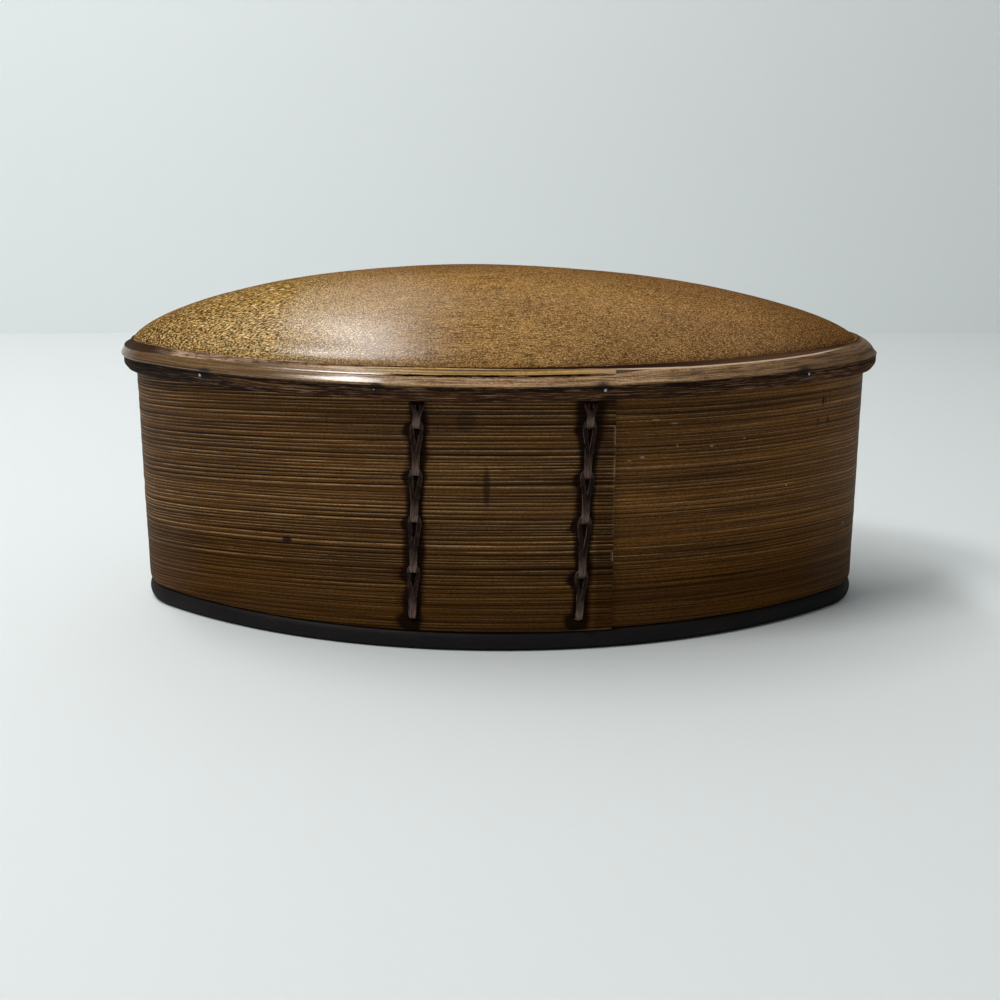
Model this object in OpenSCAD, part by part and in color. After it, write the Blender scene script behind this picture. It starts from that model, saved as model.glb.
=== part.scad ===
// Bentwood tobacco box: an oval side band lapped at the front and laced with bark,
// a base board with a half-round edge, and a carved domed lid that lifts straight off.
// Origin at the centre of the underside, +X along the box, -Y towards the laced front, +Z up.

/* [Side band] */
// Length over the side band
box_len = 240; // [200:1:290]
// Width over the side band
box_wid = 122; // [100:1:148]
// Outside radius of the two narrow ends
end_r = 26; // [20:1:32]
// Height of the side band
band_h = 74.4; // [60:0.1:90]
// Thickness of the side band
band_t = 2.6; // [2.2:0.1:3.2]
// Depth of the rounding along the band's lower outside edge
foot_round_d = 1.1; // [0.4:0.1:1.6]
// Height of that rounding
foot_round_h = 2.4; // [1:0.1:4]

/* [Lap joint] */
// Length of the overlap, centred on the front
lap_len = 69; // [62:1:84]
// Thickness left at the tip of each thinned end
lap_tip = 0.7; // [0.5:0.1:0.9]
// Length beyond the lap over which the band gets back its full thickness
lap_blend = 60; // [30:1:76]
// Glue line between the two layers
glue_line = 0.1; // [0.05:0.05:0.2]

/* [Bark lacing] */
// Distance between the two columns of lacing
lacing_gap = 51; // [42:1:54]
// Lean of the columns from upright, in degrees, feet towards the left
lacing_lean = 2.3; // [0:0.1:3]
// Depth of the first stitch's foot under the band's top edge
first_foot = 10.2; // [9:0.1:11]
// Wanted distance from one foot to the next, adjusted to fill the band's height
stitch_pitch = 15; // [12:0.5:18]
// Width of the bark strip
strip_w = 1.1; // [0.8:0.05:1.2]
// Thickness of the bark strip
strip_t = 0.5; // [0.35:0.05:0.6]
// Half the spread of a loop where it straddles the foot above
loop_spread = 1.95; // [1.85:0.05:2.4]

/* [Base board] */
// Thickness of the base board's edge
base_t = 6; // [4:0.5:9]
// Depth of the half-round on that edge
base_round_d = 2; // [1:0.1:2.4]
// Height of the raised part that fits inside the band
base_step = 3; // [2:0.5:5]

/* [Lid board] */
// Overhang of the lid's edge beyond the band
lid_overhang = 4.3; // [3.8:0.1:6]
// Height from the lid's widest plane to its crown
crown_h = 27.6; // [18:0.1:36]
// Distance of the crown's high point to the left of the centre
crown_shift = 9.7; // [0:0.1:16]
// Distance by which the groove's oval sits to the left of the centre
groove_shift = 1.9; // [0:0.1:3]
// Fullness of the dome, lower is fuller
crown_power = 0.71; // [0.5:0.01:0.9]
// Height from the lid's lower edge to the top of its rim
rim_h = 5.2; // [3.5:0.1:6]
// Height from the lid's lower edge to its widest line
rim_belly = 0.3; // [0.2:0.1:1.5]
// Section of the rim, 1 is a full quarter round and 2 a straight slope
rim_section = 1.5; // [1:0.05:1.9]
// Length by which the rim stands out past the hoop
rim_lip = 0.6; // [0.3:0.1:1.2]
// Width of the rim, outside the groove
rim_w = 4.9; // [4.5:0.1:7]
// Width of the groove round the dome
groove_w = 1.1; // [0.6:0.1:1.6]
// Depth of the groove
groove_d = 0.7; // [0.3:0.1:1]
// Thickness of the wood over the hollow, at the crown
lid_t = 7; // [5:0.5:9]
// Width of the flat ledge round the hollow, measured from the band's outside
ledge_w = 7; // [5:0.5:12]

/* [Lid hoop] */
// Height of the hoop
hoop_h = 4.6; // [4:0.1:7]
// Length by which the hoop reaches down past the band's top edge
hoop_reach = 2.2; // [1.6:0.1:3]
// Clearance between hoop and band
lid_fit = 0.35; // [0.3:0.05:0.6]
// Height of the bevel on the hoop's lower outside corner
hoop_bevel = 2.6; // [1.5:0.1:3.5]
// Length of the slanted joint where the hoop's ends meet, at the back
hoop_scarf = 30; // [20:1:40]

/* [Nails] */
// Places of the nails along the front, and mirrored along the back
nail_x = [-90, -36, 30, 93]; // [-98:1:98]
// Diameter of a nail's head
nail_head_d = 1.9; // [1.4:0.1:2.2]
// Thickness of a nail's head
nail_head_t = 0.6; // [0.4:0.1:0.8]
// Diameter of a nail's shank
nail_d = 0.9; // [0.7:0.1:1.1]
// Length of a nail under its head
nail_len = 6; // [5:0.5:8]

/* [Hidden] */
$fn = 160;

// Four-centre oval of the plan: two end arcs and two side arcs that meet without a corner
half_len = box_len / 2;
half_wid = box_wid / 2;
end_x = half_len - end_r;
side_r = (end_x * end_x + half_wid * half_wid - end_r * end_r) / (2 * (half_wid - end_r));
side_y = side_r - half_wid;
end_turn = atan2(side_y, end_x);
side_turn = 90 - end_turn;
deg = 180 / PI;
side_half = side_r * side_turn / deg;
end_arc = end_r * 2 * end_turn / deg;
girth = 4 * side_half + 2 * end_arc;

// Lengths at which the arcs change, measured leftwards from the middle of the front
at_left_end = side_half;
at_back = side_half + end_arc;
at_right_end = 3 * side_half + end_arc;
at_front = 3 * side_half + 2 * end_arc;

// Heights
band_foot = base_t;
band_top = band_foot + band_h;
hoop_foot = band_top - hoop_reach;
rim_foot = hoop_foot + hoop_h;
rim_top = rim_foot + rim_h;
widest_z = rim_foot + rim_belly;
crown_z = widest_z + crown_h;

// Clearance between a piece and its hole, and the length by which a cut runs past a surface
slack = 0.15;
cut_over = 1;

// Sampling of the arcs
side_step = 5;
end_steps = 16;

// Angle turned from the middle of the front after a length u leftwards round the oval
function turned(u) =
    u < at_left_end ? u / side_r * deg :
    u < at_back ? side_turn + (u - at_left_end) / end_r * deg :
    u < at_right_end ? side_turn + 2 * end_turn + (u - at_back) / side_r * deg :
    u < at_front ? 3 * side_turn + 2 * end_turn + (u - at_right_end) / end_r * deg :
    3 * side_turn + 4 * end_turn + (u - at_front) / side_r * deg;

// Point of the oval grown by off, where its outward direction has the angle a
function oval_at(a, off) =
    let (
        c = cos(a),
        s = sin(a),
        on_end = atan2(abs(s), abs(c)) < end_turn
    )
    on_end
        ? [sign(c) * end_x + (end_r + off) * c, (end_r + off) * s]
        : [(side_r + off) * c, (side_r + off) * s - sign(s) * side_y];

// Point of the oval at length u, grown by off
function along(u, off) = oval_at(-90 - turned(u), off);

function evenly(from, to, steps) = [for (i = [0:steps - 1]) from + (to - from) * i / steps];
function side_steps(length) = ceil(length / side_step);
function mix(from, to, share) = from + (to - from) * min(1, max(0, share));

// Stations round the oval for the lofted pieces
ring_side_steps = 30;
ring_end_steps = 18;
ring_stations = concat(
    evenly(0, at_left_end, ring_side_steps / 2),
    evenly(at_left_end, at_back, ring_end_steps),
    evenly(at_back, at_right_end, ring_side_steps),
    evenly(at_right_end, at_front, ring_end_steps),
    evenly(at_front, girth, ring_side_steps / 2)
);
ring_count = len(ring_stations);

// A ring is [offset from the oval, height, share of its size, drift to the left]
function ring(off, z) = [off, z, 1, 0];
function ring_points(r) = [
    for (u = ring_stations)
        let (p = along(u, r[0]))
        [p[0] * r[2] - r[3], p[1] * r[2], r[1]]
];

// Triangles between ring i and ring j
function skin(i, j) = [
    for (k = [0:ring_count - 1])
        let (m = (k + 1) % ring_count)
        each [
            [i * ring_count + k, i * ring_count + m, j * ring_count + k],
            [i * ring_count + m, j * ring_count + m, j * ring_count + k]
        ]
];

// A solid lofted through rings, closed at both ends by a point at the middle
module loft(rings, first_tip, last_tip) {
    last = len(rings) - 1;
    tip = len(rings) * ring_count;
    polyhedron(
        concat([for (r = rings) each ring_points(r)], [first_tip, last_tip]),
        concat(
            [for (k = [0:ring_count - 1]) [tip, (k + 1) % ring_count, k]],
            [for (i = [0:last - 1]) each skin(i, i + 1)],
            [for (k = [0:ring_count - 1])
                [tip + 1, last * ring_count + k, last * ring_count + (k + 1) % ring_count]]
        )
    );
}

// A profile of [offset, height] points swept round the oval as a closed hoop
module hoop(profile) {
    count = len(profile);
    polyhedron(
        [for (p = profile) each ring_points(ring(p[0], p[1]))],
        [for (i = [0:count - 1]) each skin(i, (i + 1) % count)]
    );
}

// Places children on the front, or the back, at x along the box: local -Y points outwards
module on_side(x, z, back = false) {
    mirror([0, back ? 1 : 0, 0])
        translate([side_r * sin(asin(x / side_r)), side_y - side_r * cos(asin(x / side_r)), z])
            rotate([0, 0, asin(x / side_r)])
                children();
}

// Base board: a half-round edge under the band and a raised part inside it
base_edge_steps = 6;
base_rings = concat(
    [for (i = [0:base_edge_steps])
        let (a = -90 + 180 * i / base_edge_steps)
        ring(base_round_d * (cos(a) - 1), base_t / 2 * (1 + sin(a)))],
    [
        ring(-band_t - slack, base_t),
        ring(-band_t - slack, base_t + base_step)
    ]
);

module base_board() {
    color([0.10, 0.09, 0.09])
        loft(base_rings, [0, 0, 0], [0, 0, base_t + base_step]);
}

// Side band: one strip that starts at the outer end on the front, runs once round
// to the left and ends inside, behind its own beginning
lap_half = lap_len / 2;
strip_end = girth + lap_half;
strip_stations = concat(
    evenly(-lap_half, at_left_end, side_steps(side_half + lap_half)),
    evenly(at_left_end, at_back, end_steps),
    evenly(at_back, at_right_end, 2 * side_steps(side_half)),
    evenly(at_right_end, at_front, end_steps),
    evenly(at_front, strip_end, side_steps(side_half + lap_half)),
    [strip_end]
);
lap_fall = band_t - 2 * lap_tip - glue_line;

// Depth of the strip's outer and inner face below the oval at length u
function outer_face(u) =
    u < girth - lap_half
        ? -mix(0, lap_tip + glue_line, (u - (girth - lap_half - lap_blend)) / lap_blend)
        : -lap_tip - glue_line - lap_fall * (u - (girth - lap_half)) / lap_len;
function inner_face(u) =
    u < lap_half
        ? -lap_tip - lap_fall * (u + lap_half) / lap_len
        : -mix(lap_tip + lap_fall, band_t, (u - lap_half) / lap_blend);

function reversed(list) = [for (i = [len(list) - 1:-1:0]) list[i]];

module band_blank() {
    translate([0, 0, band_foot])
        linear_extrude(band_h)
            polygon(concat(
                [for (u = strip_stations) along(u, outer_face(u))],
                reversed([for (u = strip_stations) along(u, inner_face(u))])
            ));
}

module foot_rounding() {
    hoop([
        [-foot_round_d, band_foot],
        [-foot_round_d, band_foot - cut_over],
        [cut_over, band_foot - cut_over],
        [cut_over, band_foot + 2 * foot_round_h],
        [0, band_foot + foot_round_h],
        [-foot_round_d / 3, band_foot + foot_round_h / 3]
    ]);
}

module side_band() {
    color([0.33, 0.21, 0.10])
        difference() {
            band_blank();
            foot_rounding();
            for (column = [-lacing_gap / 2, lacing_gap / 2])
                lacing_holes(column);
        }
}

// Lacing: a flat strip of bark worked as a chain. Each stitch comes out at its foot,
// loops round behind the foot above and goes back in at its own foot.
lift = 0.1;
pair_x = (strip_w + slack) / 2;
low_h = strip_t / 2 + lift;
high_h = low_h + strip_t + slack;
inside_h = -band_t - low_h;
bend_r = 0.35;
bend_out = 3 * bend_r;
top_gap = 0.75;
top_spread = pair_x + top_gap;
loop_rise = 0.1;
loop_dip = 0.3;
anchor_below_hoop = 1;
anchor_z = band_top - hoop_reach - anchor_below_hoop;
mid_z = band_foot + band_h / 2;
hole_h = strip_t + 2 * slack;

// The lowest foot stays clear of the base board's raised part inside the band
foot_over_base = 1.2;
last_foot = base_step + foot_over_base;
lacing_run = band_h - first_foot - last_foot;
stitches = 1 + max(1, round(lacing_run / stitch_pitch));
pitch = lacing_run / (stitches - 1);

function foot_z(i) = band_top - first_foot - i * pitch;
function lean_x(z) = (z - mid_z) * tan(lacing_lean);

// Holes for one column: a slot at each foot, and two holes for the anchor at the top
module lacing_holes(column) {
    for (i = [0:stitches - 1])
        lacing_hole(column, foot_z(i), 2 * pair_x + strip_w + 2 * slack);
    for (side = [-1, 1])
        lacing_hole(column + side * top_spread, anchor_z, strip_w + 2 * slack);
}

module lacing_hole(x, z, w) {
    on_side(x + lean_x(z), z)
        translate([-w / 2, -cut_over, -hole_h / 2])
            cube([w, band_t + 2 * cut_over, hole_h]);
}

// Centre line of the strip as [across, out of the surface, height, turn of its width]
function leg(side, z0, z1, from_x, to_x, from_h, to_h, turn, steps) = [
    for (i = [0:steps])
        let (share = i / steps, ease = (1 - cos(180 * share)) / 2)
        [
            side * (from_x + (to_x - from_x) * ease),
            from_h + (to_h - from_h) * ease,
            z0 + (z1 - z0) * share,
            turn
        ]
];
function bend(x, h, z, from, to, turn) = [
    for (i = [0:2])
        let (a = from + (to - from) * i / 2)
        [x, h + bend_r * cos(a), z + bend_r * sin(a), turn]
];
function half_loop(r, h, z, turn) = [
    for (i = [1:7])
        let (a = 22.5 * i)
        [-r * cos(a), h, z + r * sin(a), turn + a]
];

// From inside, out at the foot on the left and up in front of the band
function out_and_up(z, turn) = concat(
    bend(-pair_x, inside_h + bend_r, z + bend_r, 180, 270, turn),
    bend(-pair_x, high_h - bend_r, z + bend_r, 270, 360, turn)
);
// Down on the right and in at the foot
function down_and_in(z, turn) = bend(pair_x, high_h - bend_r, z + bend_r, 360, 270, turn);
// Inside, from the right half of a foot down to the left half of the next
function run_down(z, next, turn) = concat(
    bend(pair_x, inside_h + bend_r, z - bend_r, 90, 180, turn),
    leg(1, z - bend_out, next + bend_out, pair_x, -pair_x, inside_h, inside_h, turn, 3)
);

over_loop = loop_spread + loop_rise + strip_w;

// One stitch with its foot at z that loops behind the foot at the height above
function stitch(z, above, turn) = concat(
    run_down(above, z, turn),
    out_and_up(z, turn),
    leg(-1, z + over_loop, above - loop_dip, pair_x, loop_spread, high_h, low_h, turn, 5),
    half_loop(loop_spread, low_h, above + loop_rise, turn),
    leg(1, above - loop_dip, z + over_loop, loop_spread, pair_x, low_h, high_h, turn + 180, 5),
    down_and_in(z, turn + 180)
);

// The first stitch goes in at the anchor holes and turns inside
function anchor_stitch(z, turn) = concat(
    out_and_up(z, turn),
    leg(-1, z + over_loop, anchor_z - bend_out, pair_x, top_spread, high_h, low_h, turn, 3),
    bend(-top_spread, low_h - bend_r, anchor_z - bend_r, 0, 90, turn),
    bend(-top_spread, inside_h + bend_r, anchor_z + bend_r, 270, 180, turn),
    half_loop(top_spread, inside_h, anchor_z + bend_r, turn),
    bend(top_spread, inside_h + bend_r, anchor_z + bend_r, 180, 270, turn + 180),
    bend(top_spread, low_h - bend_r, anchor_z - bend_r, 90, 0, turn + 180),
    leg(1, anchor_z - bend_out, z + over_loop, top_spread, pair_x, low_h, high_h, turn + 180, 3),
    down_and_in(z, turn + 180)
);

// The whole strip, with a short tail inside at both ends
tail = 2.5;
lowest = foot_z(stitches - 1);
strip_path = concat(
    [[-pair_x, inside_h, foot_z(0) + 2 * tail, 0]],
    anchor_stitch(foot_z(0), 0),
    [for (i = [1:stitches - 1]) each stitch(foot_z(i), foot_z(i - 1), 180 * i)],
    bend(pair_x, inside_h + bend_r, lowest + bend_r, 270, 180, 180 * stitches),
    [[pair_x, inside_h, lowest + tail, 180 * stitches]]
);

// The strip's cross-section, with its long edges eased
edge = strip_t / 4;
function on_side_edge(q) = [q[0] * strip_w / 2, q[1] * (strip_t / 2 - edge)];
function on_face_edge(q) = [q[0] * (strip_w / 2 - edge), q[1] * strip_t / 2];
strip_section = [
    for (q = [[1, 1], [-1, 1], [-1, -1], [1, -1]])
        each (q[0] * q[1] > 0
            ? [on_side_edge(q), on_face_edge(q)]
            : [on_face_edge(q), on_side_edge(q)])
];

// A point given across the front's face, out of it and up, in the frame of the box
function on_face(p, column) =
    let (a = (p[0] + column + lean_x(p[2])) / side_r * deg)
    [(side_r + p[1]) * sin(a), side_y - (side_r + p[1]) * cos(a), p[2]];
function unit(v) = v / norm(v);

// One ring of the strip: its width lies in the face and turns with the loop
function strip_ring(path, i, column) =
    let (
        p = path[i],
        here = on_face(p, column),
        before = on_face(path[max(0, i - 1)], column),
        after = on_face(path[min(len(path) - 1, i + 1)], column),
        along_path = unit(after - before),
        a = (p[0] + column + lean_x(p[2])) / side_r * deg,
        across = [cos(a) * cos(p[3]), sin(a) * cos(p[3]), -sin(p[3])],
        out = unit(cross(along_path, across)),
        width = cross(out, along_path)
    )
    [for (q = strip_section) here + q[0] * width + q[1] * out];

module lacing(column) {
    sides = len(strip_section);
    rings = [for (i = [0:len(strip_path) - 1]) each strip_ring(strip_path, i, column)];
    last = len(strip_path) - 1;
    polyhedron(
        rings,
        concat(
            [[for (k = [sides - 1:-1:0]) k]],
            [for (i = [0:last - 1], k = [0:sides - 1])
                let (m = (k + 1) % sides)
                [i * sides + k, i * sides + m, (i + 1) * sides + m, (i + 1) * sides + k]],
            [[for (k = [0:sides - 1]) last * sides + k]]
        )
    );
}

module left_lacing() {
    color([0.16, 0.11, 0.09])
        lacing(-lacing_gap / 2);
}

module right_lacing() {
    color([0.16, 0.11, 0.09])
        lacing(lacing_gap / 2);
}

// Lid board: carved from one piece, with a hollow below and a groove round the dome
hollow_z = crown_z - lid_t;
hoop_top_off = lid_overhang - rim_lip;
groove_off = lid_overhang - rim_w;
dome_off = groove_off - groove_w;
dome_foot = rim_top - groove_d / 3;
dome_steps = 10;
hollow_steps = 6;
rim_steps = 6;

// A dome, or the hollow under it, from its foot at 0 degrees to its top at 90
function dome_ring(off, foot, top, foot_shift, angle) = [
    off,
    foot + (top - foot) * pow(sin(angle), 2 * crown_power),
    cos(angle),
    foot_shift + (crown_shift - foot_shift) * pow(sin(angle), 2)
];
// The rim's outside, from its widest line at 0 degrees to the groove at 90
function rim_ring(angle) = [
    groove_off + rim_w * pow(cos(angle), rim_section),
    widest_z + (rim_top - widest_z) * pow(sin(angle), rim_section),
    1,
    groove_shift * angle / 90
];

lid_rings = concat(
    [for (i = [hollow_steps - 1:-1:0])
        dome_ring(-ledge_w, band_top, hollow_z, 0, i * 90 / hollow_steps)],
    [
        ring(lid_fit, band_top),
        ring(lid_fit, rim_foot),
        ring(hoop_top_off, rim_foot)
    ],
    [for (i = [0:rim_steps]) rim_ring(i * 90 / rim_steps)],
    [[groove_off - groove_w / 2, rim_top - groove_d, 1, groove_shift]],
    [for (i = [0:dome_steps - 1])
        dome_ring(dome_off, dome_foot, crown_z, groove_shift, i * 90 / dome_steps)]
);
module lid_board() {
    color([0.52, 0.34, 0.15])
        difference() {
            loft(lid_rings, [-crown_shift, 0, hollow_z], [-crown_shift, 0, crown_z]);
            each_nail()
                nail_hole();
        }
}

// Lid hoop: a strip bent round the lid's shoulder, its ends joined on the slant at the back
hoop_bevel_w = 1.4;
hoop_foot_off = hoop_top_off - hoop_bevel_w;
hoop_joint_steps = 8;

module hoop_joint_cut() {
    cut_from = lid_fit - slack;
    cut_to = hoop_top_off + slack;
    cut = [
        for (i = [0:hoop_joint_steps])
            let (share = i / hoop_joint_steps)
            [girth / 2 + hoop_scarf * (share - 0.5), cut_from + (cut_to - cut_from) * share]
    ];
    translate([0, 0, hoop_foot - cut_over])
        linear_extrude(hoop_h + 2 * cut_over)
            polygon(concat(
                [for (c = cut) along(c[0], c[1])],
                reversed([for (c = cut) along(c[0], c[1] + glue_line)])
            ));
}

module lid_hoop() {
    color([0.15, 0.11, 0.11])
        difference() {
            hoop([
                [lid_fit, hoop_foot],
                [hoop_foot_off, hoop_foot],
                [hoop_top_off, hoop_foot + hoop_bevel],
                [hoop_top_off, rim_foot],
                [lid_fit, rim_foot]
            ]);
            hoop_joint_cut();
            each_nail()
                nail_hole();
        }
}

// Nails: driven through the hoop into the lid's shoulder
nail_z = rim_foot - nail_head_d / 2 - slack;

module each_nail() {
    for (back = [false, true], x = nail_x)
        on_side(x, nail_z, back)
            translate([0, -hoop_top_off, 0])
                rotate([-90, 0, 0])
                    children();
}

module nail_hole() {
    translate([0, 0, -cut_over])
        cylinder(d = nail_head_d + 2 * slack, h = cut_over + nail_head_t);
    cylinder(d = nail_d + slack, h = nail_head_t + nail_len + slack);
}

module nail() {
    cylinder(d = nail_head_d, h = nail_head_t);
    cylinder(d = nail_d, h = nail_head_t + nail_len);
}

module lid_nails() {
    color([0.2, 0.2, 0.2])
        each_nail()
            nail();
}

base_board();
side_band();
left_lacing();
right_lacing();
lid_board();
lid_hoop();
lid_nails();
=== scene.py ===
import math

import bpy
import numpy as np
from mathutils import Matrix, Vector


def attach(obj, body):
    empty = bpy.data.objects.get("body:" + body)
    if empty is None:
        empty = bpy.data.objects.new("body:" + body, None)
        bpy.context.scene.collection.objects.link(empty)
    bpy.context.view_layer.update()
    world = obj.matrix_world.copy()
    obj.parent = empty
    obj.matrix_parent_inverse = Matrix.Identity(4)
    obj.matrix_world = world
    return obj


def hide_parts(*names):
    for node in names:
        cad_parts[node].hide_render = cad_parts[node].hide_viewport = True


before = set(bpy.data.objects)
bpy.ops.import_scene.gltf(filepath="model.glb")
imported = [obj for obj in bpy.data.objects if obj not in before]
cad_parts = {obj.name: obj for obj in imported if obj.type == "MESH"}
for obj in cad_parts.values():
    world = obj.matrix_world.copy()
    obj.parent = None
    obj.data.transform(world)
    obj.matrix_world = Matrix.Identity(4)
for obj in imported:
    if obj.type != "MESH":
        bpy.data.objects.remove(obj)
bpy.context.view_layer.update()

# Base board: one board stained black, cut to the oval with a half-round edge and left
# thicker inside the band, which is glued down on it. All pieces follow this same oval,
# made of two side arcs and two end arcs, and are drawn in millimetres.
MM = 0.001
half_len, half_wid, end_r = 120.0, 61.0, 26.0
base_t, base_round, base_step = 6.0, 2.0, 3.0
band_t, step_gap, step_bevel = 2.6, 0.15, 0.2
base_wear, edge_wear = 0.12, 0.3
end_x = half_len - end_r
side_r = (end_x**2 + half_wid**2 - end_r**2) / (2 * (half_wid - end_r))
side_y = side_r - half_wid
end_turn = math.atan2(side_y, end_x)
side_turn = math.pi / 2 - end_turn
side_half = side_r * side_turn
end_arc = end_r * 2 * end_turn
girth = 4 * side_half + 2 * end_arc
side_len, side_angle, end_angle = 2 * side_half, 2 * side_turn, 2 * end_turn
turn_lengths = np.cumsum([-side_half, side_len, end_arc, side_len, end_arc, side_len])
turn_angles = np.cumsum([-side_turn, side_angle, end_angle, side_angle, end_angle, side_angle])


def oval(u, off):
    """Points of the oval grown by off, at lengths u leftwards from the middle of the front."""
    a = -math.pi / 2 - np.interp(u, turn_lengths, turn_angles)
    c, s = np.cos(a), np.sin(a)
    on_end = np.arctan2(abs(s), abs(c)) < end_turn
    x = np.where(on_end, np.sign(c) * end_x + (end_r + off) * c, (side_r + off) * c)
    y = np.where(on_end, (end_r + off) * s, (side_r + off) * s - np.sign(s) * side_y)
    return x, y


def hills(seed, x, y, wide, high):
    """Smooth random heights from -1 to 1 over a plane, each hill about wide by high."""
    cells, start_x, start_y = 256, 100.3, 100.7
    lattice = np.random.default_rng(seed).uniform(-1, 1, (cells, cells))
    gx, gy = np.asarray(x) / wide + start_x, np.asarray(y) / high + start_y
    ix, iy = np.floor(gx).astype(int), np.floor(gy).astype(int)
    fx, fy = gx - ix, gy - iy
    fx, fy = fx * fx * (3 - 2 * fx), fy * fy * (3 - 2 * fy)
    ix, next_x, iy, next_y = ix % cells, (ix + 1) % cells, iy % cells, (iy + 1) % cells
    near = lattice[ix, iy] * (1 - fx) + lattice[next_x, iy] * fx
    far = lattice[ix, next_y] * (1 - fx) + lattice[next_x, next_y] * fx
    return near * (1 - fy) + far * fy


def put(name, data):
    """A new object in the scene."""
    made = bpy.data.objects.new(name, data)
    bpy.context.scene.collection.objects.link(made)
    return made


def round_off(mesh, crease):
    """Shades a mesh as a smooth surface, with edges where it turns by more than crease degrees."""
    mesh.shade_smooth()
    mesh.set_sharp_from_angle(angle=math.radians(crease))


def skin(name, rows, fields=None, crease=32):
    """A closed mesh over rows of points in mm: each row is a ring, the end rings are closed."""
    n, m = rows.shape[:2]
    i, j = np.meshgrid(np.arange(n - 1), np.arange(m), indexing="ij")
    k = (j + 1) % m
    quads = np.stack([i * m + j, i * m + k, (i + 1) * m + k, (i + 1) * m + j], -1).reshape(-1, 4)
    ends = [list(range(m - 1, -1, -1)), list(range((n - 1) * m, n * m))]
    mesh = bpy.data.meshes.new(name)
    points = rows.reshape(-1, 3)
    mesh.from_pydata((points * MM).tolist(), [], quads.tolist() + ends)
    a, b, c, d = (points[quads[:, q]] for q in range(4))
    volume = np.einsum("ij,ij->", a, np.cross(b, c)) + np.einsum("ij,ij->", a, np.cross(c, d))
    if volume < 0:
        mesh.flip_normals()
    for field, values in (fields or {}).items():
        kind, key = ("FLOAT_VECTOR", "vector") if np.ndim(values) == 3 else ("FLOAT", "value")
        values = np.broadcast_to(values, (n, m) + np.shape(values)[2:])
        mesh.attributes.new(field, kind, "POINT").data.foreach_set(key, values.astype(np.float32).ravel())
    round_off(mesh, crease)
    return put(name, mesh)


class Wire:
    """One value in a finish. Sums and products of wires add Math nodes."""

    def __init__(self, finish, socket):
        self.finish = finish
        self.socket = socket

    def math(self, operation, first, second):
        return self.finish.node("ShaderNodeMath", {"operation": operation}, {0: first, 1: second})

    def __add__(self, other):
        return self.math("ADD", self, other)

    def __sub__(self, other):
        return self.math("SUBTRACT", self, other)

    def __rsub__(self, other):
        return self.math("SUBTRACT", other, self)

    def __mul__(self, other):
        return self.math("MULTIPLY", self, other)

    def __truediv__(self, other):
        return self.math("DIVIDE", self, other)

    def __mod__(self, other):
        return self.math("FLOORED_MODULO", self, other)

    def __abs__(self):
        return self.math("ABSOLUTE", self, 0.0)

    __radd__ = __add__
    __rmul__ = __mul__

    def ramp(self, start, end, low=0.0, high=1.0):
        """Low before start, high after end, smooth between them."""
        sockets = {0: self, 1: start, 2: end, 3: low, 4: high}
        return self.finish.node("ShaderNodeMapRange", {"interpolation_type": "SMOOTHSTEP"}, sockets)

    def close(self, near, far):
        """1 where the value is within near of zero, and 0 where it is further than far."""
        return abs(self).ramp(near, far, 1.0, 0.0)


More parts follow.
